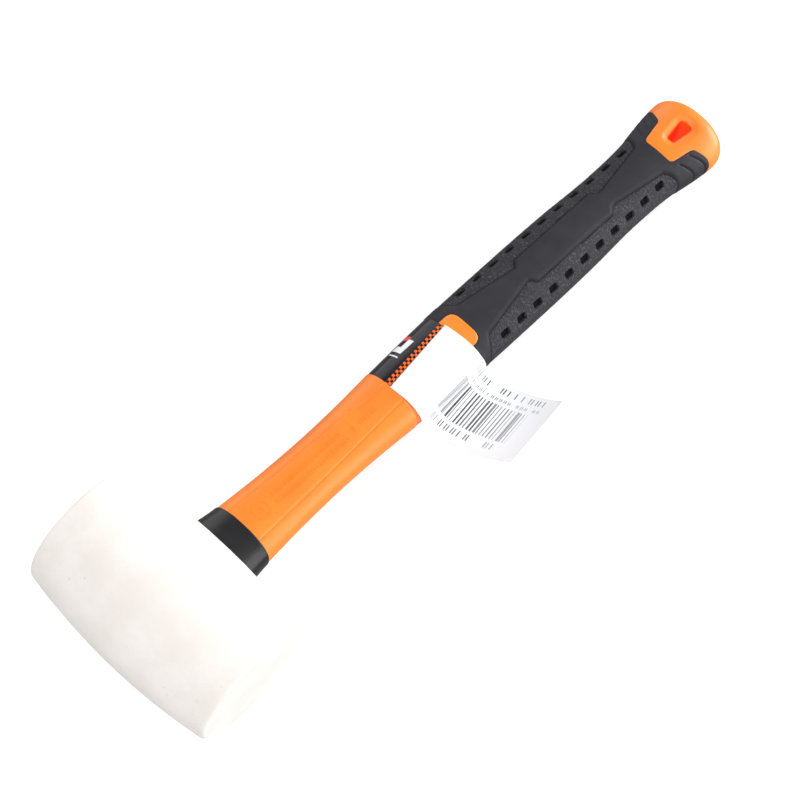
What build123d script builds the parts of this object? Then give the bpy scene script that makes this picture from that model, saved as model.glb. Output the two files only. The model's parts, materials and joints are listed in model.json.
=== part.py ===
from build123d import *
import math
import os

# Rubber mallet: white rubber barrel head bonded to a fibreglass rod, with an orange plastic
# jacket moulded over the rod and a black soft grip moulded over the jacket.
#
# Tool directions: the head lies along X, the handle runs from the head's centre along the
# tool's Y, and the tool's Z is the thin way through the handle. The mallet lies on its side,
# on the belly of the head and the back of the end cap, so the handle leans down a little.
# Row frame: +Z up from the surface that the mallet lies on, origin under the middle of the
# whole mallet, millimetres. A distance along the handle counts from the head's centre.

# ---- head
HEAD_LENGTH = 92.6
FACE_RADIUS = 27.5
BELLY_RADIUS = 31.5
RIM_FILLET = 1.6
EYE_HALF_WIDTH = 10.5
EYE_HALF_THICKNESS = 7.6
EYE_END = -18.0  # the eye is blind: it stops this far past the head's centre

# ---- rod and its bond in the eye
ROD_HALF_WIDTH = 7.5
ROD_HALF_THICKNESS = 5.2
ROD_START = -15.5
ROD_END = 290.0
BOND_END = 30.2

# ---- collar between the head and the jacket
COLLAR_BASE = 26.0
COLLAR_BASE_HALF_WIDTH = 16.8
COLLAR_BASE_HALF_THICKNESS = 12.6
COLLAR_RIM = 41.0
COLLAR_RIM_HALF_WIDTH = 14.9
COLLAR_RIM_HALF_THICKNESS = 10.8
COLLAR_RIM_FILLET = 0.5
SPIGOT_START = 31.6
SPIGOT_HALF_WIDTH = 12.4
SPIGOT_HALF_THICKNESS = 8.6

# ---- outer form of the handle: distance, half width, half thickness
HANDLE_STATIONS = [
    (COLLAR_RIM, 14.6, 10.5),
    (60.0, 13.45, 9.7),
    (85.0, 12.85, 9.3),
    (107.0, 13.3, 9.6),
    (127.0, 14.4, 10.3),
    (160.0, 15.7, 11.0),
    (200.0, 16.05, 11.4),
    (235.0, 15.75, 11.2),
    (266.0, 14.7, 10.5),
    (290.0, 15.6, 11.1),
    (304.0, 17.6, 11.9),
    (313.5, 18.35, 12.25),
    (319.5, 16.4, 11.6),
    (323.6, 13.6, 10.0),
]
HANDLE_TIP = HANDLE_STATIONS[-1][0]
TIP_FILLET = 3.5
SECTION_POWER = 2.4  # 2 is an ellipse, and more is squarer
CORNER_SHARE = 0.5 ** (1 / SECTION_POWER)  # where a section crosses its corner's diagonal

# ---- joins along the handle
LABEL_START = 126.5
GRIP_START = 162.5
LABEL_SEAT_DEPTH = 0.45
LABEL_THICKNESS = 0.25
GRIP_WALL = 2.0
CORE_END = 311.0

# ---- window of the jacket in the grip, on front and back
WINDOW_HALF_WIDTH = 8.4
WINDOW_END = 170.0
WINDOW_CORNER = 3.8

# ---- end cap: on each face a tongue runs into the grip, round the hanging hole
TONGUE_START = 293.0
TONGUE_HALF_WIDTH = 7.6
TONGUE_CORNER = 2.6
TONGUE_ROOT = 304.5
TONGUE_ROOT_HALF_WIDTH = 9.4
SHOULDER = 308.8
SHOULDER_HALF_WIDTH = 15.6
CAP_EDGE = 314.0
CAP_REACH = 22.0  # half width of the cap's cutting outline, wider than the handle
HOLE_START = 301.2
HOLE_END = 313.2
HOLE_SMALL_HALF_WIDTH = 2.1
HOLE_LARGE_HALF_WIDTH = 3.6
HOLE_CORNER = 1.5

# ---- price label: one end stuck on the front of the handle, the rest stands off its side
PRICE_LENGTH = 68.6
PRICE_WIDTH = 37.2
PRICE_THICKNESS = 0.25
PRICE_GAP = 0.3
PRICE_TURN = math.radians(6.0)  # the label's turn on the handle
PRICE_CORNER_ACROSS = -1.8  # its first corner, counted round the handle from the front ridge
PRICE_CORNER_ALONG = 126.1
PRICE_FREE = 14.0  # where it leaves the handle, counted the same way
PRICE_SWING = 0.116  # how far the free part swings along the handle for each millimetre out
PRICE_STATIONS = [  # distance, half width and half thickness of the handle, first turn
    (118.0, 14.1, 10.15, 88.3),
    (149.0, 15.4, 10.9, 93.0),
    (180.0, 16.45, 11.5, 97.7),
]
PRICE_STARTS_AT = math.radians(128.0)  # where its section starts, from the handle's side
PRICE_LEAVES_AT = math.radians(1.5)
PRICE_TIGHT_RADIUS = 7.8
PRICE_WIDE_RADIUS = 47.5
PRICE_WIDE_TURN = 62.0
PRICE_REACH = 53.1  # how far it stands out from the middle of the head
PRICE_STEPS = 6

# ---- how the mallet lies: where the end cap's back touches the surface, and the lean
REST_DISTANCE = 314.6
REST_HALF_THICKNESS = 12.25
LEAN = math.asin(BELLY_RADIUS / math.hypot(REST_DISTANCE, REST_HALF_THICKNESS))
LEAN -= math.atan2(REST_HALF_THICKNESS, REST_DISTANCE)
HEAD_CENTRE = Vector(
    (HEAD_LENGTH / 2 - PRICE_REACH) / 2,
    (BELLY_RADIUS - HANDLE_TIP * math.cos(LEAN)) / 2,
    BELLY_RADIUS,
)
TOOL = Plane(HEAD_CENTRE, x_dir=(1, 0, 0), z_dir=(0, math.sin(LEAN), math.cos(LEAN)))
REACH = 40.0  # how far a cutting shape reaches past what it cuts

os.makedirs("parts", exist_ok=True)


def across(distance, towards_cap=True):
    """A plane across the handle, with its x along the head."""
    return Plane(
        TOOL.from_local_coords(Vector(0, distance, 0)),
        x_dir=(1, 0, 0),
        z_dir=TOOL.y_dir if towards_cap else -TOOL.y_dir,
    )


def section(distance, half_width, half_thickness, inset=0.0):
    """A rounded section of the handle at this distance, drawn in by the inset."""
    wide = half_width - inset
    thick = half_thickness - inset
    corner_wide = CORNER_SHARE * wide
    corner_thick = CORNER_SHARE * thick
    with BuildSketch(across(distance)) as outline:
        with BuildLine():
            Spline(
                (wide, 0),
                (corner_wide, corner_thick),
                (0, thick),
                (-corner_wide, corner_thick),
                (-wide, 0),
                (-corner_wide, -corner_thick),
                (0, -thick),
                (corner_wide, -corner_thick),
                periodic=True,
            )
        make_face()
    return outline.sketch


def oval_bar(half_width, half_thickness, start, end):
    """An oval bar along the handle's axis."""
    with BuildPart() as bar:
        with BuildSketch(across(start)):
            Ellipse(half_width, half_thickness)
        extrude(amount=end - start)
    return bar.part


def slab(start, end):
    """A block across the whole handle between two distances."""
    with BuildPart() as block:
        with BuildSketch(across(start)):
            Rectangle(2 * REACH, 2 * REACH)
        extrude(amount=end - start)
    return block.part


# ---- forms that several pieces share -------------------------------------------------

with BuildPart() as barrel:
    with BuildSketch(TOOL):
        with BuildLine():
            face_edge = Line((-HEAD_LENGTH / 2, 0), (-HEAD_LENGTH / 2, FACE_RADIUS))
            belly = ThreePointArc(face_edge @ 1, (0, BELLY_RADIUS), (HEAD_LENGTH / 2, FACE_RADIUS))
            Line(belly @ 1, (HEAD_LENGTH / 2, 0))
            Line((HEAD_LENGTH / 2, 0), face_edge @ 0)
        make_face()
    revolve(axis=Axis(HEAD_CENTRE, (1, 0, 0)))
    fillet(barrel.faces().filter_by(GeomType.PLANE).edges(), RIM_FILLET)

with BuildPart() as handle_form:
    loft(sections=[section(*station) for station in HANDLE_STATIONS])
    fillet(handle_form.faces().sort_by(Axis.Y)[-1].edges(), TIP_FILLET)

with BuildPart() as label_form:
    label_inset = LABEL_SEAT_DEPTH - LABEL_THICKNESS
    loft(sections=[section(*station, label_inset) for station in HANDLE_STATIONS[3:7]])

with BuildPart() as label_seat:
    loft(sections=[section(*station, LABEL_SEAT_DEPTH) for station in HANDLE_STATIONS[3:7]])

with BuildPart() as grip_core:
    loft(sections=[section(*station, GRIP_WALL) for station in HANDLE_STATIONS[4:12]])

with BuildPart() as window_form:
    with BuildSketch(TOOL) as window_outline:
        with BuildLine():
            Polyline(
                (-WINDOW_HALF_WIDTH, GRIP_START),
                (WINDOW_HALF_WIDTH, GRIP_START),
                (WINDOW_HALF_WIDTH, WINDOW_END),
                (-WINDOW_HALF_WIDTH, WINDOW_END),
                close=True,
            )
        make_face()
        fillet(window_outline.vertices().sort_by(Axis.Y)[2:], WINDOW_CORNER)
    extrude(amount=REACH, both=True)

with BuildPart() as cap_form:
    with BuildSketch(TOOL) as cap_outline:
        with BuildLine():
            Polyline(
                (0, TONGUE_START),
                (TONGUE_HALF_WIDTH, TONGUE_START),
                (TONGUE_ROOT_HALF_WIDTH, TONGUE_ROOT),
                (SHOULDER_HALF_WIDTH, SHOULDER),
                (CAP_REACH, CAP_EDGE),
                (CAP_REACH, HANDLE_TIP + REACH),
                (0, HANDLE_TIP + REACH),
            )
            mirror(about=Plane.YZ)
        make_face()
        fillet(cap_outline.vertices().sort_by(Axis.Y)[:2], TONGUE_CORNER)
    extrude(amount=REACH, both=True)

with BuildPart() as hanging_hole:
    with BuildSketch(TOOL) as hole_outline:
        with BuildLine():
            Polyline(
                (-HOLE_SMALL_HALF_WIDTH, HOLE_START),
                (HOLE_SMALL_HALF_WIDTH, HOLE_START),
                (HOLE_LARGE_HALF_WIDTH, HOLE_END),
                (-HOLE_LARGE_HALF_WIDTH, HOLE_END),
                close=True,
            )
        make_face()
        fillet(hole_outline.vertices(), HOLE_CORNER)
    extrude(amount=REACH, both=True)

spigot = section(SPIGOT_START, SPIGOT_HALF_WIDTH, SPIGOT_HALF_THICKNESS)
rod_form = oval_bar(ROD_HALF_WIDTH, ROD_HALF_THICKNESS, ROD_START, ROD_END)


# ---- the mallet's pieces -------------------------------------------------------------

with BuildPart() as head:
    add(barrel.part)
    add(oval_bar(EYE_HALF_WIDTH, EYE_HALF_THICKNESS, EYE_END, REACH), mode=Mode.SUBTRACT)

with BuildPart() as core_rod:
    add(rod_form)

with BuildPart() as eye_bond:
    add(oval_bar(EYE_HALF_WIDTH, EYE_HALF_THICKNESS, EYE_END, BOND_END))
    add(rod_form, mode=Mode.SUBTRACT)

with BuildPart() as collar:
    base = section(COLLAR_BASE, COLLAR_BASE_HALF_WIDTH, COLLAR_BASE_HALF_THICKNESS)
    rim = section(COLLAR_RIM, COLLAR_RIM_HALF_WIDTH, COLLAR_RIM_HALF_THICKNESS)
    loft(sections=[base, rim])
    fillet(collar.faces().sort_by(Axis.Y)[-1].edges(), COLLAR_RIM_FILLET)
    extrude(spigot, amount=REACH, both=True, mode=Mode.SUBTRACT)
    add(barrel.part, mode=Mode.SUBTRACT)

with BuildPart() as handle_jacket:
    extrude(spigot, amount=COLLAR_RIM - SPIGOT_START)
    add(handle_form.part & slab(COLLAR_RIM, LABEL_START))
    add(label_seat.part & slab(LABEL_START, GRIP_START))
    add(grip_core.part & slab(GRIP_START, CORE_END))
    add(handle_form.part & window_form.part)
    add(handle_form.part & cap_form.part)
    add(rod_form, mode=Mode.SUBTRACT)
    add(hanging_hole.part, mode=Mode.SUBTRACT)

with BuildPart() as wrap_label:
    add(label_form.part & slab(LABEL_START, GRIP_START))
    add(label_seat.part, mode=Mode.SUBTRACT)

with BuildPart() as grip_cover:
    add(handle_form.part & slab(GRIP_START, HANDLE_TIP))
    add(grip_core.part, mode=Mode.SUBTRACT)
    add(window_form.part, mode=Mode.SUBTRACT)
    add(cap_form.part, mode=Mode.SUBTRACT)


# ---- price label ---------------------------------------------------------------------

def stuck_point(angle, half_width, half_thickness, stand_off):
    """A point off the handle's section at this angle from its side, and the outward normal."""
    wide = math.copysign(abs(math.cos(angle)) ** (2 / SECTION_POWER), math.cos(angle))
    thick = math.sin(angle) ** (2 / SECTION_POWER)
    normal = Vector(
        math.copysign(abs(wide) ** (SECTION_POWER - 1), wide) / half_width,
        thick ** (SECTION_POWER - 1) / half_thickness,
    ).normalized()
    return Vector(half_width * wide, half_thickness * thick) + normal * stand_off, normal


def price_line(half_width, half_thickness, tight_turn, stand_off, start=PRICE_STARTS_AT):
    """The label's line: round the front of the handle, then off its side in two arcs."""
    turn = PRICE_LEAVES_AT - start
    angles = [start + turn * step / PRICE_STEPS for step in range(PRICE_STEPS + 1)]
    stuck = [stuck_point(angle, half_width, half_thickness, stand_off) for angle in angles]
    directions = [normal.rotate(Axis.Z, -90) for _, normal in stuck]
    with BuildLine() as line:
        Spline(*[point for point, _ in stuck], tangents=[directions[0], directions[-1]])
        tight_radius = PRICE_TIGHT_RADIUS - stand_off
        tight = JernArc(stuck[-1][0], directions[-1], tight_radius, tight_turn)
        JernArc(tight @ 1, tight % 1, PRICE_WIDE_RADIUS - stand_off, PRICE_WIDE_TURN)
    return line.wire()


def price_section(distance, *shape):
    """The label's thin section across the handle."""
    inner = price_line(*shape, PRICE_GAP)
    outer = price_line(*shape, PRICE_GAP + PRICE_THICKNESS)
    with BuildSketch(across(distance, towards_cap=False)) as thin:
        with BuildLine():
            add(inner)
            add(outer)
            Line(inner @ 0, outer @ 0)
            Line(inner @ 1, outer @ 1)
        make_face()
    return thin.sketch


def price_corner(length, width, ridge_line):
    """Where a point of the flat label, counted from its first corner, lies in plan."""
    round_handle = PRICE_CORNER_ACROSS
    round_handle += length * math.cos(PRICE_TURN) - width * math.sin(PRICE_TURN)
    along = PRICE_CORNER_ALONG + length * math.sin(PRICE_TURN) + width * math.cos(PRICE_TURN)
    along += PRICE_SWING * max(round_handle - PRICE_FREE, 0)
    if round_handle > 0:
        point = ridge_line.position_at(round_handle, position_mode=PositionMode.LENGTH)
        return (point.X, along)
    return (round_handle, along)


with BuildPart() as price_label:
    loft(sections=[price_section(*station) for station in PRICE_STATIONS], ruled=True)
    ridge = price_line(*PRICE_STATIONS[1][1:], PRICE_GAP, start=math.pi / 2)
    lengths = [PRICE_LENGTH * step / PRICE_STEPS for step in range(PRICE_STEPS + 1)]
    near_edge = [price_corner(length, 0, ridge) for length in lengths]
    far_edge = [price_corner(length, PRICE_WIDTH, ridge) for length in reversed(lengths)]
    with BuildSketch(TOOL):
        with BuildLine():
            Polyline(*near_edge, *far_edge, close=True)
        make_face()
    extrude(amount=REACH, both=True, mode=Mode.INTERSECT)


head.part.label = "head"
collar.part.label = "collar"
core_rod.part.label = "core_rod"
eye_bond.part.label = "eye_bond"
handle_jacket.part.label = "handle_jacket"
grip_cover.part.label = "grip_cover"
wrap_label.part.label = "wrap_label"
price_label.part.label = "price_label"

export_step(head.part, "parts/head.step")
export_step(collar.part, "parts/collar.step")
export_step(core_rod.part, "parts/core_rod.step")
export_step(eye_bond.part, "parts/eye_bond.step")
export_step(handle_jacket.part, "parts/handle_jacket.step")
export_step(grip_cover.part, "parts/grip_cover.step")
export_step(wrap_label.part, "parts/wrap_label.step")
export_step(price_label.part, "parts/price_label.step")
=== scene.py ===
import json
import math

import bmesh
import bpy
import numpy as np
from mathutils import Matrix, Vector, noise


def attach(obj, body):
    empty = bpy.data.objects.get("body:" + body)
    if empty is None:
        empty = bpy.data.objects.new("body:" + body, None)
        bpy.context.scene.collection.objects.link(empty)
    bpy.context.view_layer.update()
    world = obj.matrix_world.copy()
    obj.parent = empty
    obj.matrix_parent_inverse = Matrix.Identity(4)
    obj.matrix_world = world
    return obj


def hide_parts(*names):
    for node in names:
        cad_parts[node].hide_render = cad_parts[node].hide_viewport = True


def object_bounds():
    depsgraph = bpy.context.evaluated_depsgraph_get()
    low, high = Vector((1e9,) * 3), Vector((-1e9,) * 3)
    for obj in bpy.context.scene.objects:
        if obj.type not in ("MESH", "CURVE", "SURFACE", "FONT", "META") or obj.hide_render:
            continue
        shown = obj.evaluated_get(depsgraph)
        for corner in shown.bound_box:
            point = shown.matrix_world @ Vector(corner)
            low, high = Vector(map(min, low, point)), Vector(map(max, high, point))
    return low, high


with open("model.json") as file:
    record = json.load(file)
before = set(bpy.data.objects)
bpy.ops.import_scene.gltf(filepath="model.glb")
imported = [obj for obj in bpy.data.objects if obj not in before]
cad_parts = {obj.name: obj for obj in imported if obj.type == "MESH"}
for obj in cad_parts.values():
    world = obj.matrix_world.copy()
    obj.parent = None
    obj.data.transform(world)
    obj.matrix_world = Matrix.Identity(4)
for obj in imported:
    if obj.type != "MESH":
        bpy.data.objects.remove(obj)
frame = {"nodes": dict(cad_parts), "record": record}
cad_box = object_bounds()

# A rubber mallet lying on its side. Shapes are worked out in millimetres in the tool's own
# directions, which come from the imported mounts: X along the head, Y along the handle from the
# head's centre, Z the thin way through the handle.

MM = 0.001

# ---- sizes shared with the CAD model, in millimetres
HEAD_HALF_LENGTH = 46.3
FACE_RADIUS = 27.5
BELLY_RADIUS = 31.5
RIM_FILLET = 1.6
EYE = (10.5, 7.6)
EYE_END = -18.0
SPIGOT = (12.4, 8.6)
SPIGOT_START = 31.6
COLLAR_START = 20.0
COLLAR_RIM = 41.0
COLLAR_RIM_SIZE = (14.95, 10.85)
COLLAR_FLARE = (1.9, 1.8)
LABEL_START = 126.5
GRIP_START = 162.5
SEAT_DEPTH = 0.45
FILM_DEPTH = 0.2
GRIP_WALL = 2.0
CORE_END = 311.0
DOME_START = 313.5
HANDLE_TIP = 323.6
HANDLE_STATIONS = [
    (41, 14.6, 10.5),
    (60, 13.45, 9.7),
    (85, 12.85, 9.3),
    (107, 13.3, 9.6),
    (127, 14.4, 10.3),
    (160, 15.7, 11.0),
    (200, 16.05, 11.4),
    (235, 15.75, 11.2),
    (266, 14.7, 10.5),
    (290, 15.6, 11.1),
    (304, 17.6, 11.9),
    (313.5, 18.35, 12.25),
]
SECTION_POWER = 2.4
SECTION_STATION = HANDLE_STATIONS[5]  # where the columns of every skin are evenly spaced
DOME_POWERS = (2.5, 3.4)
REACH = 40.0
SEAM = 0.05  # open seam between the grip and the plastic under it


# ---- the tool's place ----------------------------------------------------------------

def mount(name):
    return next(m for m in frame["record"]["mounts"] if m["name"] == name)


right_face = Vector(mount("strike_face_right")["pos_m"])
left_face = Vector(mount("strike_face_left")["pos_m"])
across = (right_face - left_face).normalized()
outward = Vector(mount("hanging_hole")["axis"]).normalized()
along = outward.cross(across)
TOOL = Matrix((across, along, outward)).transposed().to_4x4()
TOOL.translation = (right_face + left_face) / 2
TOOL_TURN = np.array(TOOL.to_3x3())
TOOL_CENTRE = np.array(TOOL.translation)


def placed(points):
    """Points in millimetres along the tool's directions, as metres in the model's frame."""
    return np.asarray(points, float) * MM @ TOOL_TURN.T + TOOL_CENTRE


def unplaced(mesh):
    """A mesh's points, in millimetres along the tool's directions."""
    points = np.zeros(len(mesh.vertices) * 3)
    mesh.vertices.foreach_get("co", points)
    return (points.reshape(-1, 3) - TOOL_CENTRE) @ TOOL_TURN / MM


def added(thing):
    bpy.context.scene.collection.objects.link(thing)
    return thing


tool_frame = added(bpy.data.objects.new("tool_frame", None))
tool_frame.matrix_world = TOOL


# ---- curves and outlines -------------------------------------------------------------

def smooth(x):
    x = np.clip(x, 0, 1)
    return x * x * (3 - 2 * x)


def through(at, places, values):
    """A smooth curve through values at places, level at its last one."""
    places, values = np.asarray(places, float), np.asarray(values, float)
    slopes = np.gradient(values, places)
    slopes[-1] = 0
    i = np.clip(np.searchsorted(places, at, side="right") - 1, 0, len(places) - 2)
    gap = places[i + 1] - places[i]
    t = np.clip((at - places[i]) / gap, 0, 1)
    rise = values[i + 1] - values[i]
    bend = (slopes[i] * (1 - t) - slopes[i + 1] * t) * gap - rise * (1 - 2 * t)
    return values[i] + rise * t + t * (1 - t) * bend


def half_sizes(y):
    """The handle's half width and half thickness at each distance."""
    y = np.asarray(y, float)
    places, wide, thick = zip(*HANDLE_STATIONS)
    body = np.minimum(y, DOME_START)
    over = np.clip((y - DOME_START) / (HANDLE_TIP - DOME_START), 0, 1)
    shrink = [(1 - over**power) ** (1 / power) for power in DOME_POWERS]
    return through(body, places, wide) * shrink[0], through(body, places, thick) * shrink[1]


def signed_power(value, power):
    return np.sign(value) * np.abs(value) ** power


def upper_section(angles):
    """Points of the unit section's upper half at angles, as (x, z) pairs."""
    x = signed_power(np.cos(angles), 2 / SECTION_POWER)
    return np.stack([x, np.sin(angles) ** (2 / SECTION_POWER)], -1)


def section_columns(count):
    """Points round a unit section, evenly spaced on the real one."""
    angles = np.linspace(0, 2 * math.pi, 8001)
    x = signed_power(np.cos(angles), 2 / SECTION_POWER)
    z = signed_power(np.sin(angles), 2 / SECTION_POWER)
    _, wide, thick = SECTION_STATION
    steps = np.hypot(np.diff(x) * wide, np.diff(z) * thick)
    lengths = np.concatenate([[0], np.cumsum(steps)])
    at = np.arange(count) * lengths[-1] / count
    return np.interp(at, lengths, x), np.interp(at, lengths, z)


def rounded(corners, steps=7):
    """A closed outline from corners (x, y, radius)."""
    outline = []
    for i, (x, y, radius) in enumerate(corners):
        corner = np.array((x, y), float)
        if radius == 0:
            outline.append(corner)
            continue
        back = np.array(corners[i - 1][:2], float) - corner
        on = np.array(corners[(i + 1) % len(corners)][:2], float) - corner
        back_length, on_length = np.linalg.norm(back), np.linalg.norm(on)
        back, on = back / back_length, on / on_length
        half_angle = 0.5 * math.acos(np.clip(back @ on, -1, 1))
        reach = min(radius / math.tan(half_angle), 0.49 * back_length, 0.49 * on_length)
        for t in np.linspace(0, 1, steps):
            outline.append(corner + back * reach * (1 - t) ** 2 + on * reach * t**2)
    return np.array(outline)


def mirrored(corners):
    """Corners on the +X side, and their mirror images on the other side."""
    return corners + [(-x, y, radius) for x, y, radius in reversed(corners) if x > 0]


def outline_distance(x, y, outline):
    """How far points are from an outline, negative inside it."""
    nearest = np.full(x.shape, 1e9)
    inside = np.zeros(x.shape, bool)
    for (ax, ay), (bx, by) in zip(outline, np.roll(outline, -1, axis=0)):
        ex, ey = bx - ax, by - ay
        t = np.clip(((x - ax) * ex + (y - ay) * ey) / max(ex * ex + ey * ey, 1e-12), 0, 1)
        nearest = np.minimum(nearest, np.hypot(x - ax - t * ex, y - ay - t * ey))
        if ey:
            crosses = ((ay > y) != (by > y)) & (x < ax + ex * (y - ay) / ey)
            inside ^= crosses
    return np.where(inside, -nearest, nearest)


# ---- outlines on the handle, seen from its front -------------------------------------

def window_outline(grow=0.0):
    half, end, start = 8.4 + grow, 170.0 + grow, GRIP_START - 4
    return rounded([(half, start, 0), (half, end, 4.2), (-half, end, 4.2), (-half, start, 0)])


def cap_outline(grow=0.0):
    edge = [
        (7.5 + grow, 293 - grow, 2.8),
        (9.6 + grow, 305.2 - grow, 3.0),
        (15.7 + grow, 308.8 - grow, 6.0),
        (24, 312.0 - grow, 0),
        (24, HANDLE_TIP + REACH, 0),
    ]
    return rounded(mirrored(edge))


def hole_outline():
    return rounded(mirrored([(1.95, 301.2, 1.3), (3.45, 313.2, 2.3)]), 7)


def panel_outline():
    """The sunk grip panel round one side of the handle, on the +X side."""
    return rounded(
        [
            (24, 166.8, 0),
            (14.5, 169.4, 3),
            (8.3, 173.6, 1.0),
            (3.1, 203.4, 0.8),
            (3.1, 204.8, 0.8),
            (6.0, 207.4, 1.4),
            (6.1, 255.2, 1.4),
            (3.7, 257.4, 1.2),
            (3.3, 260.0, 1.2),
            (7.4, 287.6, 1.9),
            (10.5, 290.4, 2.5),
            (14.3, 292.0, 3),
            (24, 293.0, 0),
        ]
    )


# ---- meshes --------------------------------------------------------------------------

def lofted(rings):
    """A closed form through rings of points: its points and its faces."""
    rings = np.asarray(rings, float)
    rows, columns = rings.shape[:2]
    index = np.arange(rows * columns).reshape(rows, columns)
    turned = np.roll(index, -1, axis=1)
    quads = np.stack([index[:-1], turned[:-1], turned[1:], index[1:]], -1)
    faces = quads.reshape(-1, 4).tolist()
    faces += [index[0][::-1].tolist(), index[-1].tolist()]
    return rings.reshape(-1, 3), faces


def piece(name, *forms):
    """An object made of closed forms, given in millimetres along the tool's directions."""
    points, faces, count = [], [], 0
    for form_points, form_faces in forms:
        points.append(form_points)
        faces += [[i + count for i in face] for face in form_faces]
        count += len(form_points)
    mesh = bpy.data.meshes.new(name)
    mesh.from_pydata(placed(np.concatenate(points)), [], faces)
    work = bmesh.new()
    work.from_mesh(mesh)
    bmesh.ops.recalc_face_normals(work, faces=work.faces)
    work.to_mesh(mesh)
    work.free()
    return added(bpy.data.objects.new(name, mesh))


def settle(made):
    """Applies the object's modifiers to its mesh."""
    bpy.context.view_layer.update()
    shown = made.evaluated_get(bpy.context.evaluated_depsgraph_get())
    mesh = bpy.data.meshes.new_from_object(shown)
    made.modifiers.clear()
    old = made.data
    made.data = mesh
    mesh.name = made.name
    bpy.data.meshes.remove(old)


def combine(made, other, operation, keep_other=False):
    """Adds, subtracts or intersects another closed piece."""
    step = made.modifiers.new(operation, "BOOLEAN")
    step.operation = operation
    step.solver = "MANIFOLD"
    step.object = other
    settle(made)
    if not keep_other:
        bpy.data.objects.remove(other)
    return made


def soften(made, angle):
    """Smooth shading, with sharp edges where faces meet at more than an angle in degrees."""
    made.data.shade_smooth()
    made.data.set_sharp_from_angle(angle=math.radians(angle))


def block(name, start, end):
    """A block right across the handle between two distances."""
    corners = [(-REACH, -REACH), (REACH, -REACH), (REACH, REACH), (-REACH, REACH)]
    return piece(name, lofted([[(x, y, z) for x, z in corners] for y in (start, end)]))


def prism(name, outline):
    """An outline cut right through the handle from front to back."""
    return piece(name, lofted([[(x, y, z) for x, y in outline] for z in (-REACH, REACH)]))


def oval(size, y, count=96):
    """One ring of an oval bar along the handle."""
    turn = np.arange(count) * 2 * math.pi / count
    return np.stack([np.cos(turn) * size[0], np.full(count, float(y)), np.sin(turn) * size[1]], -1)


def section_rings(wide, thick, y, columns, sunk=0.0):
    """Rings of the handle's rounded section, sunk below their nominal surface."""
    unit_x, unit_z = columns
    x, z = wide[:, None] * unit_x, thick[:, None] * unit_z
    level = np.repeat(y[:, None], len(unit_x), axis=1)
    normal_x = signed_power(unit_x, SECTION_POWER - 1) / wide[:, None]
    normal_z = signed_power(unit_z, SECTION_POWER - 1) / thick[:, None]
    length = np.hypot(normal_x, normal_z)
    if callable(sunk):
        sunk = sunk(x, level, z)
    x = x - normal_x / length * sunk
    z = z - normal_z / length * sunk
    return np.stack([x, level, z], -1)


def skin(name, y, columns, sunk=0.0):
    """The handle's closed skin through rows at distances y."""
    wide, thick = half_sizes(y)
    return piece(name, lofted(section_rings(wide, thick, y, columns, sunk)))


def rows(*stretches):
    """Distances along the handle from stretches (start, end, spacing)."""
    runs = [np.arange(start, end - spacing / 3, spacing) for start, end, spacing in stretches]
    return np.concatenate(runs + [[stretches[-1][1]]])


def dome_rows(count):
    """Distances over the rounded end, closer together towards the tip."""
    turn = np.linspace(0, 0.985 * math.pi / 2, count)[1:]
    return DOME_START + (HANDLE_TIP - DOME_START) * np.sin(turn)


def rough(x, y, z, size):
    """Noise at each point, with features about size millimetres across."""
    flat = np.stack([x, y, z], -1).reshape(-1, 3) / size
    return np.array([noise.noise(Vector(p)) for p in flat]).reshape(x.shape)


COLUMNS = section_columns(232)
COARSE_COLUMNS = section_columns(116)


# ---- head ----------------------------------------------------------------------------

HEAD_COLUMNS = 208
SWELL_BROAD = 0.10
SWELL_FINE = 0.035
SWELL_BACK = 0.06  # keeps the uneven barrel inside the plain one


def head_profile():
    """Half of the barrel's outline from the face's middle to its waist: (x, radius)."""
    arc = ((BELLY_RADIUS - FACE_RADIUS) ** 2 + HEAD_HALF_LENGTH**2) / 2
    arc /= BELLY_RADIUS - FACE_RADIUS
    drop = BELLY_RADIUS - arc
    corner_x = HEAD_HALF_LENGTH - RIM_FILLET
    corner_radius = drop + math.sqrt((arc - RIM_FILLET) ** 2 - corner_x**2)
    tangent = math.atan2(corner_radius - drop, corner_x)
    face = [(HEAD_HALF_LENGTH, radius) for radius in np.linspace(1, corner_radius - 0.6, 14)]
    rim = [
        (corner_x + RIM_FILLET * math.cos(turn), corner_radius + RIM_FILLET * math.sin(turn))
        for turn in np.linspace(0, tangent, 9)
    ]
    waist = np.linspace(rim[-1][0], 0, 46)[1:]
    belly = [(x, drop + math.sqrt(arc**2 - x**2)) for x in waist]
    return face + rim + belly


def barrel_grid():
    """The plain barrel: x, y and z of its points, a row for each ring from face to face."""
    half = head_profile()
    profile = np.array([(-x, radius) for x, radius in half[:-1]] + half[::-1])
    turn = np.arange(HEAD_COLUMNS) * 2 * math.pi / HEAD_COLUMNS
    x = np.repeat(profile[:, :1], HEAD_COLUMNS, axis=1)
    radius = np.repeat(profile[:, 1:], HEAD_COLUMNS, axis=1)
    return x, np.cos(turn) * radius, np.sin(turn) * radius


def make_head():
    x, y, z = barrel_grid()
    uneven = SWELL_BROAD * rough(x, y, z, 24.0) + SWELL_FINE * rough(x, y, z, 5.0) - SWELL_BACK
    swell = 1 + uneven / BELLY_RADIUS
    head = piece("head_rubber", lofted(np.stack([x, y * swell, z * swell], -1)))
    eye = piece("eye_cutter", lofted([oval(EYE, y) for y in (EYE_END, REACH)]))
    combine(head, eye, "DIFFERENCE")
    soften(head, 40)
    return head


# ---- collar --------------------------------------------------------------------------

COLLAR_LIP = 0.5  # radius of the rim's rounded edge
COLLAR_FLARE_LENGTH = 15.0
COLLAR_FLARE_POWER = 1.35


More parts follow.
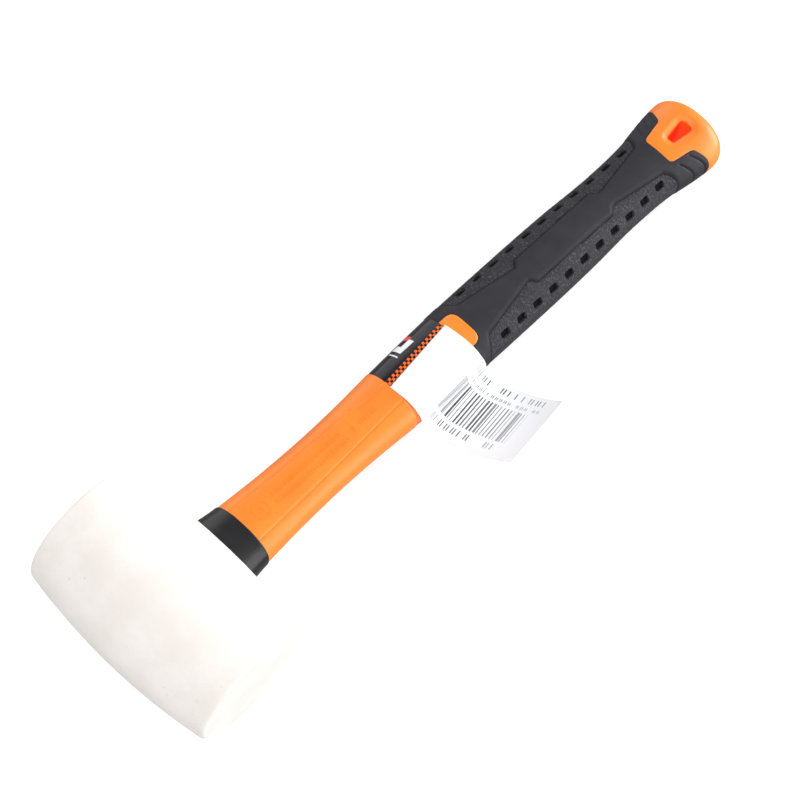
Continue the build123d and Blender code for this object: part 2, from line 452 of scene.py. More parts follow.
def make_collar():
    lip_start = COLLAR_RIM - COLLAR_LIP
    lip_rows = lip_start + COLLAR_LIP * np.sin(np.linspace(0.25, 1.57, 6))
    y = np.concatenate([np.linspace(COLLAR_START, lip_start, 30), lip_rows])
    flare = np.clip((COLLAR_RIM - y) / COLLAR_FLARE_LENGTH, 0, 1.6) ** COLLAR_FLARE_POWER
    over_lip = np.clip((y - lip_start) / COLLAR_LIP, 0, 1)
    lip_sink = COLLAR_LIP * (1 - np.sqrt(1 - over_lip**2))
    wide = COLLAR_RIM_SIZE[0] + COLLAR_FLARE[0] * flare - lip_sink
    thick = COLLAR_RIM_SIZE[1] + COLLAR_FLARE[1] * flare - lip_sink
    collar = piece("collar_ring", lofted(section_rings(wide, thick, y, COLUMNS)))
    barrel = piece("barrel_cutter", lofted(np.stack(barrel_grid(), -1)))
    combine(collar, barrel, "DIFFERENCE")
    bar = piece("spigot_cutter", spigot_form(-0.03, SPIGOT_START - 8, COLLAR_RIM + 5))
    combine(collar, bar, "DIFFERENCE")
    soften(collar, 35)
    return collar


def spigot_form(grow, start, end):
    y = np.array([start, end], float)
    wide, thick = np.full(2, SPIGOT[0] - grow), np.full(2, SPIGOT[1] - grow)
    return lofted(section_rings(wide, thick, y, COARSE_COLUMNS))


# ---- handle jacket -------------------------------------------------------------------

EDGE_ROUND = 0.55
EDGE_DROP = 0.2
GROOVE_DEPTH = 0.34
GROOVE_HALF = 0.75
GROOVE_ENDS = ((8.35, 41.0), (5.46, 126.5))
DISH_DEPTH = 1.15
DISH_REACH = 3.3


def edge_drop(inside):
    """How far a surface is drawn down near an edge, from the distance inside the edge."""
    return EDGE_DROP * np.clip(1 - inside / EDGE_ROUND, 0, 1) ** 2


def jacket_sunk(x, y, z):
    """How far the plastic is sunk: panel grooves, rounded edges and the dish of the hole."""
    (near_x, near_y), (far_x, far_y) = GROOVE_ENDS
    line_x = near_x + (far_x - near_x) * (y - near_y) / (far_y - near_y)
    groove = GROOVE_DEPTH * smooth(1 - np.abs(np.abs(x) - line_x) / GROOVE_HALF)
    sunk = np.where(y < LABEL_START, groove + edge_drop(LABEL_START - y), 0)
    pads = (y > GRIP_START) & (y < GRIP_START + 12)
    sunk[pads] = edge_drop(-outline_distance(x[pads], y[pads], window_outline()))
    end = y > 288
    sunk[end] = edge_drop(-outline_distance(x[end], y[end], cap_outline()))
    dish = outline_distance(x[end], y[end], hole_outline())
    sunk[end] += DISH_DEPTH * smooth(1 - dish / DISH_REACH)
    return sunk


MARK_ROOT = 0.5  # how far a raised mark reaches down into the plastic


def raised_loop(corners, stroke, height):
    """A raised outline on the front of the shaft, round corners (x, y, radius)."""
    middle = rounded(corners, 6)
    forward = np.roll(middle, -1, axis=0) - np.roll(middle, 1, axis=0)
    forward /= np.linalg.norm(forward, axis=1)[:, None]
    side = np.stack([forward[:, 1], -forward[:, 0]], -1) * stroke / 2
    rings = []
    for point, to_side in zip(middle, side):
        wide, thick = half_sizes(point[1])
        base = thick * (1 - abs(point[0] / wide) ** SECTION_POWER) ** (1 / SECTION_POWER)
        outer, inner = point + to_side, point - to_side
        low, high = base - MARK_ROOT, base + height
        rings.append([(*outer, low), (*outer, high), (*inner, high), (*inner, low)])
    rings = np.array(rings)
    count, columns = rings.shape[:2]
    index = np.arange(count * columns).reshape(count, columns)
    on, up = np.roll(index, -1, axis=0), np.roll(index, -1, axis=1)
    faces = np.stack([index, on, np.roll(on, -1, axis=1), up], -1).reshape(-1, 4).tolist()
    return rings.reshape(-1, 3), faces


def mark_corners(x, y, half_height, half_width, radius):
    return [
        (x + half_height, y - half_width, radius),
        (x + half_height, y + half_width, radius),
        (x - half_height, y + half_width, radius),
        (x - half_height, y - half_width, radius),
    ]


def raised_marks():
    """A plain ring and three lines of plain small tabs along the front of the shaft."""
    height, stroke, pitch = 0.14, 0.36, 2.3
    marks = [raised_loop(mark_corners(0, 50.5, 3.4, 3.5, 3.2), 0.6, height)]
    marks.append(raised_loop(mark_corners(0, 50.5, 1.3, 0.6, 0.3), stroke, height))
    for x, start, count in ((1.9, 58.0, 18), (-1.7, 58.8, 17), (0.3, 102.5, 7)):
        for i in range(count):
            if (i * i + 3 * count) % 7 == 1:
                continue
            half_width = 0.75 if i % 3 else 0.3
            corners = mark_corners(x, start + pitch * i, 0.95, half_width, 0.25)
            marks.append(raised_loop(corners, stroke, height))
    return marks


def handle_ring(inner, start, end, name):
    """What lies round a form of the handle between two distances."""
    return combine(block(name, start, end), inner, "DIFFERENCE")


def grip_space(grow):
    """The space of the soft grip: round the core, clear of the windows and the end cap."""
    core_rows = rows((GRIP_START - 6, CORE_END, 3.0))
    core = skin("core_cutter", core_rows, COARSE_COLUMNS, GRIP_WALL - grow)
    space = handle_ring(core, GRIP_START + grow, HANDLE_TIP + 5, "grip_space")
    combine(space, prism("window_cutter", window_outline(grow)), "DIFFERENCE")
    combine(space, prism("cap_cutter", cap_outline(grow)), "DIFFERENCE")
    return space


def film_space(grow):
    """The space of the printed film, in its shallow seat round the handle."""
    seat_rows = rows((LABEL_START - 4, GRIP_START + 4, 1.5))
    seat = skin("seat_cutter", seat_rows, COLUMNS, SEAT_DEPTH - grow)
    return handle_ring(seat, LABEL_START + grow, GRIP_START - grow, "film_space")


def make_jacket():
    shaft = rows((COLLAR_RIM, LABEL_START - 1.2, 0.8), (LABEL_START - 1.2, LABEL_START + 0.2, 0.2))
    middle = rows((LABEL_START + 2, GRIP_START - 1, 2.5), (GRIP_START, 172, 0.45))
    end = rows((174, 290, 5.0), (290, DOME_START, 0.4))
    y = np.concatenate([shaft, middle, end, dome_rows(30)])
    jacket = skin("handle_jacket_plastic", y, COLUMNS, jacket_sunk)
    combine(jacket, film_space(0), "DIFFERENCE")
    combine(jacket, grip_space(0), "DIFFERENCE")
    combine(jacket, piece("spigot", spigot_form(0, SPIGOT_START, COLLAR_RIM + 1)), "UNION")
    combine(jacket, prism("hole_cutter", hole_outline()), "DIFFERENCE")
    combine(jacket, piece("marks", *raised_marks()), "UNION")
    soften(jacket, 38)
    # Painted light: the hole's deep walls are marked here so the orange material paints them red and makes
    # them glow, standing in for light shining through the plastic.
    points = unplaced(jacket.data)
    inside = outline_distance(points[:, 0], points[:, 1], hole_outline()) < 0.1
    deep = smooth((depth_below(points) - DISH_DEPTH + 0.1) / 0.25)
    set_values(jacket, "hole", inside * deep)
    return jacket


# ---- grip ----------------------------------------------------------------------------

PANEL_DEPTH = 0.95
PANEL_SLOPE = 2.1
PANEL_GROW = 0.9  # how far the edge's slope starts outside the panel's outline
PANEL_SIDE = 0.25  # share of the panel's depth left on the handle's very side
STIPPLE = 0.07
PIT_COUNT = 11
PIT_PITCH = 10.15
PIT_START = 180.86
PIT_DEPTH = 1.68
PIT_HALF = (1.4, 2.4)
PIT_SKEW = 0.32
PIT_CORNER = 0.8
SIDE_GROOVES = {1: (295.4, 301.8), -1: (294.1, 298.5, 302.9)}
GROOVE_LEAN = 0.72


def panel_share(x, y):
    """How far down the side panel's edge each point is, from 0 outside it to 1 on its floor."""
    inside = PANEL_GROW - outline_distance(np.abs(x), y, panel_outline())
    return np.clip(inside / PANEL_SLOPE, 0, 1)


def side_grooves(x, y):
    """Short slanting grooves between the side panels and the end cap."""
    reach = np.abs(x)
    fade = smooth((reach - 9.6) / 1.2)
    sunk = np.zeros(x.shape)
    for side, places in SIDE_GROOVES.items():
        for place in places:
            away = np.abs(y - place - GROOVE_LEAN * (reach - 10))
            sunk += (0.7 if side > 0 else 0.35) * smooth(1 - away / 0.8) * fade * (x * side > 0)
    return sunk


def grip_sunk(x, y, z):
    share = panel_share(x, y)
    inside = 0.3 * smooth(share) + 0.7 * (1 - np.sqrt(1 - share**2))
    toward_side = smooth((np.abs(x) / half_sizes(y)[0] - 0.72) / 0.25)
    sunk = PANEL_DEPTH * inside * (1 - (1 - PANEL_SIDE) * toward_side) + side_grooves(x, y)
    sunk -= STIPPLE * inside * rough(x, y, z, 0.95)
    sunk += edge_drop(y - GRIP_START)
    near = y < 175
    sunk[near] += edge_drop(outline_distance(x[near], y[near], window_outline()))
    end = y > 288
    sunk[end] += edge_drop(outline_distance(x[end], y[end], cap_outline()))
    return sunk


def pit_form(side, face, i):
    """The cutter of one small pit, on the +X or -X side of the front or back."""
    share = (i - (PIT_COUNT - 1) / 2) / ((PIT_COUNT - 1) / 2)
    x, y = 12.15 - 0.92 * share - 0.40 * share**2, PIT_START + PIT_PITCH * i
    wide, thick = (float(size) - PANEL_DEPTH for size in half_sizes(y))
    unit_x = x / wide
    unit_z = (1 - unit_x**SECTION_POWER) ** (1 / SECTION_POWER)
    normal = Vector((unit_x ** (SECTION_POWER - 1) / wide, 0, unit_z ** (SECTION_POWER - 1) / thick))
    normal.normalize()
    over = Vector((normal.z, 0, -normal.x))
    middle = Vector((x, y, thick * unit_z))
    half_wide, half_long = PIT_HALF
    corners = [(half_wide, end * half_long - PIT_SKEW, PIT_CORNER) for end in (-1, 1)]
    corners += [(-x, -y, radius) for x, y, radius in corners]
    outline = rounded(corners, 4)
    rings = []
    for height, scale in ((1.2, 1.16), (0.12, 1.06), (-0.2, 0.99), (PANEL_DEPTH - PIT_DEPTH, 0.86)):
        ring = [middle + normal * height + over * (s * scale) + Vector((0, t * scale, 0)) for s, t in outline]
        rings.append([(p.x * side, p.y, p.z * face) for p in ring])
    return lofted(rings)


def make_grip():
    y = rows((GRIP_START - 1, GRIP_START + 1.4, 0.2), (GRIP_START + 1.4, 313.6, 0.4))
    grip = skin("grip_cover_rubber", y, COLUMNS, grip_sunk)
    combine(grip, grip_space(SEAM), "INTERSECT")
    pits = [pit_form(side, face, i) for side in (1, -1) for face in (1, -1) for i in range(PIT_COUNT)]
    combine(grip, piece("pit_cutter", *pits), "DIFFERENCE")
    soften(grip, 38)
    points = unplaced(grip.data)
    share = panel_share(points[:, 0], points[:, 1])
    set_values(grip, "panel", share > 0.99)
    # Painted shade: the edge slopes of the panels and the bottoms of the pits are marked here for the grip
    # material to darken to near black.
    set_values(grip, "painted_panel_edge_shade", np.where(share < 0.99, share**2, 0))
    set_values(grip, "pit", smooth((depth_below(points) - 1.2) / 0.25))
    return grip


def depth_below(points):
    """How far points lie inside the handle's nominal surface, roughly."""
    wide, thick = half_sizes(points[:, 1])
    x, z = np.abs(points[:, 0]) / wide, np.abs(points[:, 2]) / thick
    level = (x**SECTION_POWER + z**SECTION_POWER) ** (1 / SECTION_POWER)
    return (1 - level) * np.hypot(points[:, 0], points[:, 2]) / np.maximum(level, 1e-6)


def set_values(made, name, values):
    """Stores one value for each point of a piece, for its material to read."""
    made.data.attributes.new(name, "FLOAT", "POINT").data.foreach_set("value", values)


def make_film():
    y = rows((LABEL_START - 1, GRIP_START + 1, 0.9))
    film = skin("wrap_label_film", y, COLUMNS, FILM_DEPTH)
    combine(film, film_space(0.02), "INTERSECT")
    soften(film, 40)
    return film


# ---- price label ---------------------------------------------------------------------

PRICE_FLAT = (37.2, 68.6)
PRICE_TURN = math.radians(6.0)
PRICE_CORNER = (-1.8, 126.1)
PRICE_PLACES = (118.0, 149.0, 180.0)
PRICE_LEAVES = math.radians(1.5)
PRICE_TIGHT = (7.8, math.radians(93.0))
PRICE_WIDE = (47.5, math.radians(72.6))
PRICE_TWIST = math.radians(4.7)  # extra tight turn from one place to the next
PRICE_FREE = 14.0  # where the label leaves the handle, counted round it from the ridge
PRICE_SWING = 0.116  # how far the free part swings along the handle for each millimetre out
PRICE_OFF = 0.12
PRICE_CURL = 0.25
PRICE_THICK = 0.13
PRICE_BACK = math.radians(138)  # how far round the section the line reaches on its stuck side
STUCK_STEPS = 400
BEND_STEPS = 200


def price_line(place):
    """The label's line across the handle at one distance: lengths from the ridge, and points."""
    wide, thick = (float(size) for size in half_sizes(place))
    unit = upper_section(np.linspace(PRICE_BACK, PRICE_LEAVES, STUCK_STEPS))
    normals = signed_power(unit, SECTION_POWER - 1) / (wide, thick)
    normals /= np.linalg.norm(normals, axis=1)[:, None]
    stuck = unit * (wide, thick) + normals * PRICE_OFF
    heading = math.atan2(-normals[-1, 0], normals[-1, 1])
    twist = PRICE_TWIST * (place - PRICE_PLACES[1]) / (PRICE_PLACES[2] - PRICE_PLACES[1])
    points, at = [stuck], stuck[-1]
    for radius, turn in ((PRICE_TIGHT[0], PRICE_TIGHT[1] + twist), PRICE_WIDE):
        headings = heading + np.linspace(0, turn, BEND_STEPS)
        step = radius * turn / (BEND_STEPS - 1)
        run = np.cumsum(np.stack([np.cos(headings[1:]), np.sin(headings[1:])], -1) * step, axis=0)
        points.append(at + run)
        at, heading = at + run[-1], headings[-1]
    points = np.concatenate(points)
    lengths = np.concatenate([[0], np.cumsum(np.linalg.norm(np.diff(points, axis=0), axis=1))])
    ridge = np.interp(0.0, points[:STUCK_STEPS, 0], lengths[:STUCK_STEPS])
    return lengths - ridge, points


def price_points(length, width):
    """Where points of the flat label lie once it is stuck round the handle."""
    round_handle = PRICE_CORNER[0] + length * math.cos(PRICE_TURN) - width * math.sin(PRICE_TURN)
    y = PRICE_CORNER[1] + length * math.sin(PRICE_TURN) + width * math.cos(PRICE_TURN)
    y = y + PRICE_SWING * np.clip(round_handle - PRICE_FREE, 0, None)
    lines = [price_line(place) for place in PRICE_PLACES]
    x, z = (
        np.stack([np.interp(round_handle, lengths, points[:, k]) for lengths, points in lines])
        for k in (0, 1)
    )
    share = (y - PRICE_PLACES[0]) / (PRICE_PLACES[-1] - PRICE_PLACES[0]) * 2
    low = np.clip(np.floor(share), 0, 1).astype(int)
    mix = share - low
    curl = PRICE_CURL * smooth((round_handle - 20) / 30) * np.sin(width / 6.0 + 0.6)
    return np.stack([between_lines(x, low, mix), y, between_lines(z, low, mix) + curl], -1)


def between_lines(values, low, mix):
    """Values between line number low and the next line, for each point."""
    first, second = (np.take_along_axis(values, low[None] + step, 0)[0] for step in (0, 1))
    return first * (1 - mix) + second * mix


def make_price_label():
    grid = np.meshgrid(np.linspace(0, PRICE_FLAT[1], 171), np.linspace(0, PRICE_FLAT[0], 77))
    length, width = (values.ravel() for values in grid)
    points = price_points(length, width)
    index = np.arange(length.size).reshape(grid[0].shape)
    corners = [index[:-1, :-1], index[:-1, 1:], index[1:, 1:], index[1:, :-1]]
    faces = np.stack(corners, -1).reshape(-1, 4)
    mesh = bpy.data.meshes.new("price_label_paper")
    mesh.from_pydata(placed(points), [], faces.tolist())
    flat = mesh.attributes.new("flat", "FLOAT_VECTOR", "POINT")
    flat.data.foreach_set("vector", np.stack([length, width, 0 * width], -1).ravel())
    label = added(bpy.data.objects.new("price_label_paper", mesh))
    mesh.shade_smooth()
    sheet = label.modifiers.new("thickness", "SOLIDIFY")
    sheet.thickness = PRICE_THICK * MM
    sheet.offset = 1.0 if mesh.polygons[0].normal.z > 0 else -1.0
    sheet.material_offset = 1
    sheet.material_offset_rim = 1
    return label


# ---- materials -----------------------------------------------------------------------

class Paint:
    """A procedural material, built up node by node. Colours are linear."""

    def __init__(self, name):
        self.material = bpy.data.materials.new(name)
        self.material.use_nodes = True
        self.tree = self.material.node_tree
        self.shader = next(n for n in self.tree.nodes if n.type == "BSDF_PRINCIPLED")
        self.place = self.node("ShaderNodeTexCoord", object=tool_frame).outputs["Object"]

    def node(self, kind, inputs=None, **settings):
        made = self.tree.nodes.new(kind)
        for key, value in settings.items():
            setattr(made, key, value)
        for key, value in (inputs or {}).items():
            self.feed(made.inputs[key], value)
        return made

    def feed(self, socket, value):
        if isinstance(value, bpy.types.NodeSocket):
            self.tree.links.new(value, socket)
        else:
            socket.default_value = value

    def noise(self, per_mm, detail=3.0, roughness=0.55, stretch=(1, 1, 1)):
        scale = tuple(per_mm / MM * s for s in stretch)
        spot = self.node("ShaderNodeMapping", {"Vector": self.place, "Scale": scale}).outputs[0]
        settings = {"Vector": spot, "Scale": 1.0, "Detail": detail, "Roughness": roughness}
        made = self.node("ShaderNodeTexNoise", settings)
        return made.outputs["Fac"]

    def stored(self, name):
        """The value stored on the mesh under this name."""
        return self.node("ShaderNodeAttribute", attribute_name=name).outputs["Fac"]

    def math(self, operation, a, b=0.0, clamp=False):
        return self.node("ShaderNodeMath", {0: a, 1: b}, operation=operation, use_clamp=clamp).outputs[0]

    def above(self, value, low, high):
        """0 below low, 1 above high, and a smooth step between them."""
        made = self.node("ShaderNodeMapRange", {0: value, 1: low, 2: high}, interpolation_type="SMOOTHSTEP")
        return made.outputs[0]

    def between(self, value, low, high, edge=0.04):
        rise = self.above(value, low - edge, low + edge)
        fall = self.above(value, high - edge, high + edge)
        return self.math("SUBTRACT", rise, fall, clamp=True)

    def all_of(self, *masks):
        result = masks[0]
        for mask in masks[1:]:
            result = self.math("MULTIPLY", result, mask)
        return result

    def any_of(self, *masks):
        result = masks[0]
        for mask in masks[1:]:
            result = self.math("MAXIMUM", result, mask)
        return result

    def blend(self, share, first, second):
        made = self.node("ShaderNodeMix", data_type="RGBA")
        self.feed(made.inputs[0], share)
        self.feed(made.inputs[6], first)
        self.feed(made.inputs[7], second)
        return made.outputs[2]

    def range(self, value, low, high, out_low, out_high):
        made = self.node("ShaderNodeMapRange", {0: value, 1: low, 2: high, 3: out_low, 4: out_high})
        return made.outputs[0]

    def bump(self, height, depth_mm, normal=None):
        made = self.node("ShaderNodeBump", {"Strength": 1.0, "Distance": depth_mm * MM, "Height": height})
        if normal is not None:
            self.feed(made.inputs["Normal"], normal)
        return made.outputs[0]

    def finish(self, **inputs):
        for key, value in inputs.items():
            self.feed(self.shader.inputs[key.replace("_", " ")], value)
        return self.material


def rgb(red, green, blue):
    return (red, green, blue, 1.0)


def white_rubber():
    p = Paint("white_rubber")
    cloud = p.noise(0.05, 4.0)
    fine = p.noise(0.6, 5.0)
    colour = p.blend(p.above(cloud, 0.3, 0.7), rgb(0.86, 0.805, 0.76), rgb(0.92, 0.885, 0.85))
    colour = p.blend(p.range(fine, 0.3, 0.7, 0.0, 0.25), colour, rgb(0.83, 0.775, 0.73))
    dust = p.all_of(p.above(p.noise(0.9, 2.0), 0.71, 0.75), p.above(p.noise(0.04, 2.0), 0.52, 0.60))
    colour = p.blend(p.math("MULTIPLY", dust, 0.55), colour, rgb(0.42, 0.30, 0.20))
    scuff = p.above(p.noise(0.25, 6.0, 0.7, (0.25, 1.0, 1.0)), 0.60, 0.72)
    colour = p.blend(p.math("MULTIPLY", scuff, 0.10), colour, rgb(0.62, 0.58, 0.54))
    roughness = p.range(fine, 0.2, 0.8, 0.42, 0.62)
    normal = p.bump(p.noise(2.2, 3.0), 0.03, p.bump(cloud, 0.10))
    return p.finish(
        Base_Color=colour,
        Roughness=roughness,
        Normal=normal,
        Subsurface_Weight=0.12,
        Subsurface_Radius=(0.9, 0.7, 0.5),
        Subsurface_Scale=0.002,
        Specular_IOR_Level=0.45,
    )


def black_collar():
    p = Paint("black_collar")
    fine = p.noise(1.5, 4.0)
    broad = p.noise(0.12, 2.0)
    colour = p.blend(p.range(broad, 0.3, 0.7, 0, 1), rgb(0.0075, 0.007, 0.008), rgb(0.013, 0.0125, 0.014))
    normal = p.bump(fine, 0.02, p.bump(broad, 0.12))
    roughness = p.range(fine, 0.25, 0.75, 0.26, 0.40)
    return p.finish(Base_Color=colour, Roughness=roughness, Normal=normal, Specular_IOR_Level=0.4)


def orange_plastic():
    p = Paint("orange_plastic")
    cloud = p.noise(0.06, 3.0)
    fine = p.noise(1.1, 4.0)
    flow = p.noise(0.35, 3.0, 0.6, (1.0, 0.12, 1.0))
    colour = p.blend(p.range(cloud, 0.3, 0.7, 0, 1), rgb(0.93, 0.210, 0.010), rgb(0.97, 0.250, 0.015))
    colour = p.blend(p.range(flow, 0.35, 0.75, 0, 0.25), colour, rgb(0.90, 0.185, 0.009))
    # Painted light: a red tint and a faint glow on the hole's deep walls, standing in for light shining
    # through the plastic.
    hole = p.stored("hole")
    colour = p.blend(hole, colour, rgb(1.0, 0.022, 0.012))
    normal = p.bump(fine, 0.016, p.bump(flow, 0.05))
    roughness = p.range(fine, 0.25, 0.75, 0.34, 0.48)
    return p.finish(
        Base_Color=colour,
        Roughness=roughness,
        Normal=normal,
        Emission_Color=rgb(1.0, 0.018, 0.012),
        Emission_Strength=p.math("MULTIPLY", hole, 0.3),
        Subsurface_Weight=0.15,
        Subsurface_Radius=(1.0, 0.35, 0.1),
        Subsurface_Scale=0.0015,
        Specular_IOR_Level=0.6,
    )


def black_soft_grip():
    p = Paint("black_soft_grip")
    panel, edge, pit = (p.stored(name) for name in ("panel", "painted_panel_edge_shade", "pit"))
    broad = p.noise(0.10, 3.0)
    grain = p.noise(3.0, 2.0)
    stipple = p.noise(1.15, 3.0, 0.65)
    colour = p.blend(p.range(broad, 0.3, 0.7, 0, 1), rgb(0.024, 0.023, 0.029), rgb(0.031, 0.030, 0.037))
    # Painted highlight: light specks on the stippled panels, standing in for light caught by the stipple.
    painted_stipple_highlight = p.all_of(panel, p.above(stipple, 0.50, 0.66))
    colour = p.blend(p.math("MULTIPLY", painted_stipple_highlight, 0.42), colour, rgb(0.125, 0.125, 0.14))
    # Painted shade: the pits and the panels' edge slopes are darkened to near black.
    colour = p.blend(p.math("MAXIMUM", pit, p.math("MULTIPLY", edge, 0.7)), colour, rgb(0.002, 0.002, 0.003))
    depth = p.math("MULTIPLY", panel, stipple)
    normal = p.bump(depth, 0.28, p.bump(grain, 0.02))
    roughness = p.math("ADD", p.range(grain, 0.25, 0.75, 0.50, 0.60), p.math("MULTIPLY", panel, 0.10))
    roughness = p.math("ADD", roughness, p.math("MULTIPLY", p.any_of(pit, edge), 0.4), clamp=True)
    return p.finish(
        Base_Color=colour,
        Roughness=roughness,
        Normal=normal,
        Specular_IOR_Level=0.22,
    )


CHECKER = 1.22
CHECKER_EDGE = -4.9  # where the three columns of squares begin, at the film's start
CHECKER_LEAN = 0.083


def printed_film():
    p = Paint("printed_film")
    split = p.node("ShaderNodeSeparateXYZ", {0: p.place})
    x, y = (p.math("DIVIDE", split.outputs[k], MM) for k in (0, 1))
    edge = p.math("MULTIPLY", p.math("SUBTRACT", y, LABEL_START), CHECKER_LEAN)
    over = p.math("SUBTRACT", x, p.math("SUBTRACT", CHECKER_EDGE, edge))
    columns, lines = (p.math("FLOOR", p.math("DIVIDE", v, CHECKER)) for v in (over, y))
    odd = p.math("FLOORED_MODULO", p.math("ADD", columns, lines), 2.0)
    beyond = p.above(over, 3 * CHECKER - 0.04, 3 * CHECKER + 0.04)
    orange = p.any_of(beyond, p.all_of(p.above(over, -0.04, 0.04), odd))
    fleck = p.noise(0.8, 3.0)
    black = p.blend(p.range(fleck, 0.3, 0.7, 0, 1), rgb(0.009, 0.008, 0.012), rgb(0.014, 0.013, 0.018))
    colour = p.blend(orange, black, rgb(0.93, 0.16, 0.022))
    white = p.any_of(
        p.all_of(p.between(x, -12.1, -9.8), p.between(y, 141.0, 149.2)),
        p.all_of(p.between(x, -13.7, -12.0), p.between(y, 141.0, 144.2)),
        p.all_of(p.between(x, -13.4, -9.3), p.between(y, 138.5, 139.2)),
    )
    red = p.all_of(p.between(x, -14.6, -12.1), p.between(y, 148.0, 150.6))
    colour = p.blend(white, colour, rgb(0.86, 0.86, 0.88))
    colour = p.blend(red, colour, rgb(0.80, 0.07, 0.05))
    normal = p.bump(p.noise(0.15, 2.0), 0.10, p.bump(fleck, 0.006))
    roughness = p.range(fleck, 0.3, 0.7, 0.16, 0.26)
    return p.finish(Base_Color=colour, Roughness=roughness, Normal=normal, Specular_IOR_Level=0.32)


def cells(p, length, step):
    """The number of the cell that a length falls in, and how far through the cell it is."""
    scaled = p.math("DIVIDE", length, step)
    return p.math("FLOOR", scaled), p.math("FRACT", scaled)


def chance(p, cell, salt):
    spot = p.math("ADD", cell, salt)
    return p.node("ShaderNodeTexWhiteNoise", {"W": spot}, noise_dimensions="1D").outputs["Value"]


def printed_bars(p, length, width, fibre):
    """How dark the ink is: a block of long bars, and rows of short plain ticks beside it."""
    cell, share = cells(p, length, 1.5)
    thick = p.range(chance(p, cell, 0.3), 0.25, 1.0, 0.24, 0.86)
    bars = p.all_of(p.above(p.math("SUBTRACT", thick, share), -0.03, 0.03), p.between(width, 9.4, 26.8))
    strength = p.range(chance(p, cell, 7.7), 0.0, 1.0, 0.75, 1.3)
    marks = [p.all_of(bars, p.between(length, 18.6, 58.6), p.math("MINIMUM", strength, 1.0))]
    for low, high, step, end in ((4.3, 7.6, 3.0, 60.0), (28.4, 30.0, 1.9, 62.0), (32.2, 35.2, 3.2, 62.0)):
        cell, share = cells(p, length, step)
        second = p.all_of(p.between(share, 0.50, 0.66, 0.03), p.above(chance(p, cell, low), 0.3, 0.32))
        ticks = p.any_of(p.between(share, 0.12, 0.28, 0.03), second)
        place = p.all_of(p.between(width, low, high), p.between(length, 21.0, end))
        marks.append(p.all_of(ticks, place, p.above(chance(p, cell, high), 0.12, 0.14)))
    # Painted highlight: the ink fades from 30 mm down to 18 mm along the label, where it bends over the
    # handle, standing in for glare off the gloss; past 47 to 52 mm it is also a little fainter.
    painted_glare_fade = p.all_of(p.range(length, 18.0, 30.0, 0.3, 1.0), p.range(length, 47.0, 52.0, 1.0, 0.72))
    return p.all_of(p.any_of(*marks), painted_glare_fade, p.range(fibre, 0.25, 0.6, 0.8, 1.0))


def paper(name, printed):
    """Coated label paper, printed with bars and rows of small blocks or left plain."""
    p = Paint(name)
    fibre = p.noise(1.6, 5.0, 0.6)
    cloud = p.noise(0.08, 2.0)
    colour = p.blend(p.range(fibre, 0.3, 0.7, 0, 1), rgb(0.86, 0.86, 0.90), rgb(0.90, 0.90, 0.935))
    if printed:
        flat = p.node("ShaderNodeAttribute", attribute_name="flat").outputs["Vector"]
        split = p.node("ShaderNodeSeparateXYZ", {0: flat})
        length, width = split.outputs[0], split.outputs[1]
        colour = p.blend(printed_bars(p, length, width, fibre), colour, rgb(0.022, 0.022, 0.028))
    normal = p.bump(fibre, 0.008, p.bump(cloud, 0.10))
    roughness = p.range(fibre, 0.3, 0.7, 0.34, 0.46)
    return p.finish(Base_Color=colour, Roughness=roughness, Normal=normal, Specular_IOR_Level=0.4)


def fibreglass():
    p = Paint("fibreglass")
    strands = p.noise(2.4, 2.0, 0.5, (1.0, 0.05, 1.0))
    broad = p.noise(0.2, 3.0)
    colour = p.blend(p.above(strands, 0.38, 0.62), rgb(0.34, 0.31, 0.16), rgb(0.66, 0.62, 0.42))
    colour = p.blend(p.range(broad, 0.4, 0.7, 0, 0.4), colour, rgb(0.42, 0.38, 0.22))
    roughness = p.range(strands, 0.3, 0.7, 0.45, 0.65)
    return p.finish(Base_Color=colour, Roughness=roughness, Normal=p.bump(strands, 0.06))


def epoxy():
    p = Paint("epoxy")
    cloud = p.noise(0.3, 3.0)
    bubbles = p.above(p.noise(1.3, 2.0), 0.62, 0.70)
    colour = p.blend(p.range(cloud, 0.3, 0.7, 0, 1), rgb(0.13, 0.095, 0.05), rgb(0.20, 0.15, 0.085))
    colour = p.blend(p.math("MULTIPLY", bubbles, 0.4), colour, rgb(0.35, 0.29, 0.18))
    normal = p.bump(bubbles, 0.08, p.bump(cloud, 0.3))
    return p.finish(Base_Color=colour, Roughness=p.range(cloud, 0.3, 0.7, 0.12, 0.28), Normal=normal)


# ---- camera, light and floor ---------------------------------------------------------

CAMERA_PLACE = (226.6, -289.44, 890.5)
CAMERA_TARGET = (2.2, 129.7, 0.0)
CAMERA_UP = (-0.6505, 0.6108, 0.4514)
CAMERA_LENS = 112.77
LIGHTS = [
    ("key", (100.0, -250.0, 900.0), 0.8, 7.0),
    ("right", (870.0, 610.0, 170.0), 0.9, 5.4),
    ("left", (-820.0, 610.0, 300.0), 0.8, 2.3),
    ("back", (380.0, 1150.0, 330.0), 0.8, 12.0),
]
LIGHT_AIM = (0.0, 120.0, 0.0)
WORLD_LIGHT = 0.33
FLOOR_LIGHT = 0.62


def make_camera():
    data = bpy.data.cameras.new("camera")
    data.lens, data.sensor_width = CAMERA_LENS, 36.0
    data.clip_start, data.clip_end = 0.05, 20.0
    camera = added(bpy.data.objects.new("camera", data))
    place, target = Vector(CAMERA_PLACE) * MM, Vector(CAMERA_TARGET) * MM
    back = (place - target).normalized()
    right = Vector(CAMERA_UP).cross(back).normalized()
    turned = Matrix((right, back.cross(right), back)).transposed().to_4x4()
    turned.translation = place
    camera.matrix_world = TOOL @ turned
    bpy.context.scene.camera = camera


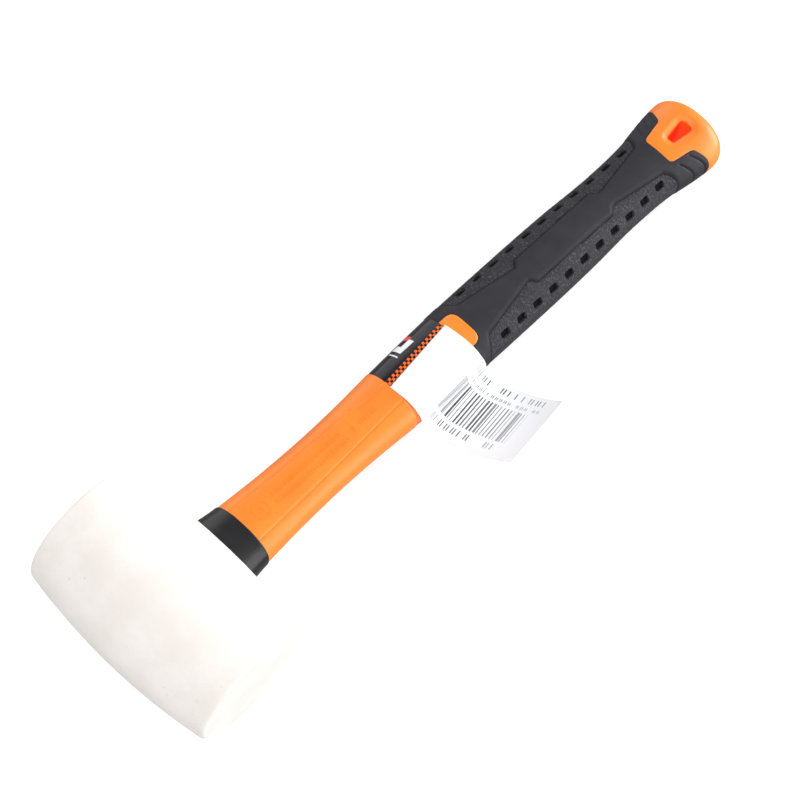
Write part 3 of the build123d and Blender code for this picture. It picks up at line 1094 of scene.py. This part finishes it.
def make_lights():
    for name, place, size, watts in LIGHTS:
        data = bpy.data.lights.new(name, "AREA")
        data.shape, data.size, data.energy = "DISK", size, watts
        lamp = added(bpy.data.objects.new(name, data))
        aim = (Vector(LIGHT_AIM) - Vector(place)).normalized()
        turned = aim.to_track_quat("-Z", "Y").to_matrix().to_4x4()
        lamp.matrix_world = TOOL @ (Matrix.Translation(Vector(place) * MM) @ turned)
    world = bpy.data.worlds.new("studio")
    world.use_nodes = True
    shade = next(n for n in world.node_tree.nodes if n.type == "BACKGROUND")
    shade.inputs["Color"].default_value = rgb(1.0, 1.0, 1.0)
    shade.inputs["Strength"].default_value = WORLD_LIGHT
    bpy.context.scene.world = world
    bpy.context.scene.view_settings.view_transform = "Standard"


def make_floor():
    mesh = bpy.data.meshes.new("studio_floor")
    work = bmesh.new()
    bmesh.ops.create_circle(work, cap_ends=True, segments=64, radius=4.0)
    work.to_mesh(mesh)
    work.free()
    floor = added(bpy.data.objects.new("studio_floor", mesh))
    floor.location.z = cad_box[0].z
    floor.visible_glossy = False  # its glow would show as a rim on every dark edge
    p = Paint("studio_floor")
    cloud = p.range(p.noise(0.002, 2.0), 0.3, 0.7, 0, 1)
    tone = p.blend(cloud, rgb(0.50, 0.50, 0.50), rgb(0.52, 0.52, 0.52))
    material = p.finish(
        Base_Color=tone,
        Roughness=0.9,
        Emission_Color=rgb(1.0, 1.0, 1.0),
        Emission_Strength=FLOOR_LIGHT,
    )
    mesh.materials.append(material)


# ---- the mallet ----------------------------------------------------------------------

def mount_piece(made, node, slot, *materials):
    """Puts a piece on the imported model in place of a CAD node."""
    made.data.materials.clear()
    for material in materials:
        made.data.materials.append(material)
    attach(made, "root")
    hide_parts(node)


def main():
    make_camera()
    make_lights()
    make_floor()
    mount_piece(make_head(), "head", "white_rubber", white_rubber())
    mount_piece(make_collar(), "collar", "black_collar", black_collar())
    mount_piece(make_jacket(), "handle_jacket", "orange_plastic", orange_plastic())
    mount_piece(make_grip(), "grip_cover", "black_soft_grip", black_soft_grip())
    mount_piece(make_film(), "wrap_label", "printed_film", printed_film())
    label = make_price_label()
    mount_piece(label, "price_label", "white_label", paper("white_label", True), paper("label_back", False))
    for node, material in (("core_rod", fibreglass()), ("eye_bond", epoxy())):
        shown = frame["nodes"][node]
        shown.data.materials.clear()
        shown.data.materials.append(material)


main()
